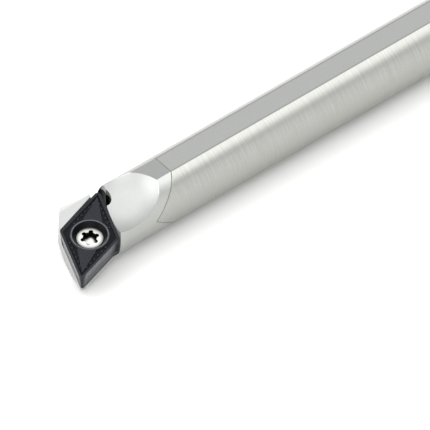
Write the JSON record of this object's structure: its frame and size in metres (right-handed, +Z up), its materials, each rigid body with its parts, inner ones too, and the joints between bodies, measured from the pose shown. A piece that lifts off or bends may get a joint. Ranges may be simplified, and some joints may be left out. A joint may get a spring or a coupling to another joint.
{
  "type": "boring bar",
  "caption": "Right-hand indexable boring bar with a slim round flatted shank, a brazed-on steel head and a screwed-on rhombic cutting insert.",
  "frame": {"origin": "on the shank's axis, at its rear face", "axes": "+X along the shank's axis towards the cutting head, +Y towards the side that cuts, +Z up, square to the two flats, with the insert's top face up"},
  "size_m": [0.125, 0.0101, 0.0076],
  "materials": {
    "shank": "solid tungsten carbide, round ground and polished, flats ground matt",
    "braze": "thin dull line of silver brazing alloy",
    "head": "bright satin tool steel, machined",
    "insert": "carbide with a black satin hard coating",
    "screw": "bright steel"
  },
  "bodies": {
    "root": {"shank": "shank", "braze_joint": "braze", "head": "head", "insert": "insert", "clamp_screw": "screw"}
  },
  "joints": []
}
